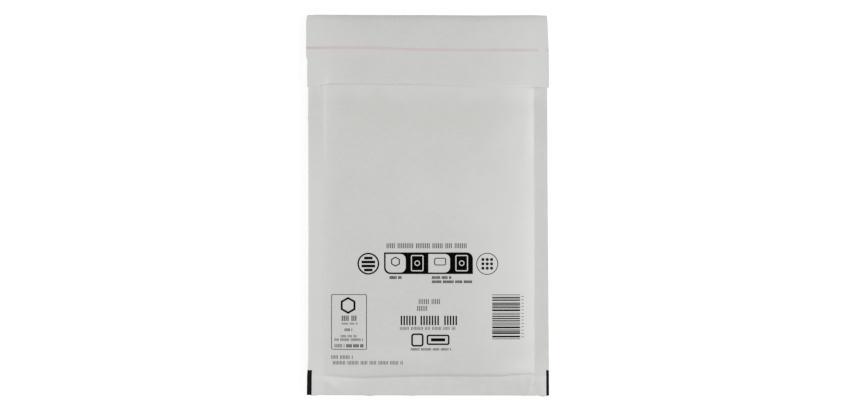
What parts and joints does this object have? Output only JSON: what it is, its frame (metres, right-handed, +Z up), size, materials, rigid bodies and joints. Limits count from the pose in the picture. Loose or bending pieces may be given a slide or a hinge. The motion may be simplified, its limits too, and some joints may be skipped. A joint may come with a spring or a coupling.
{
  "type": "padded envelope",
  "caption": "White kraft paper envelope lined with bubble film, lying flat with its flap folded over the front and a tear strip across the flap.",
  "frame": {"origin": "centre of the underside, on the surface the envelope lies on", "axes": "+X across the envelope, +Y along it from the bottom edge to the flap's fold, +Z up out of the front"},
  "size_m": [0.14, 0.22, 0.007],
  "materials": {
    "white_kraft": "matt white kraft paper",
    "bubble_film": "clear bubble film",
    "pink_tape": "thin glossy tape",
    "clear_adhesive": "tacky hot-melt film",
    "siliconised_paper": "smooth siliconised paper"
  },
  "bodies": {
    "root": {"outer_paper": "white_kraft", "bubble_lining": "bubble_film", "tear_strip": "pink_tape", "closure_adhesive": "clear_adhesive", "release_liner": "siliconised_paper"}
  },
  "joints": []
}
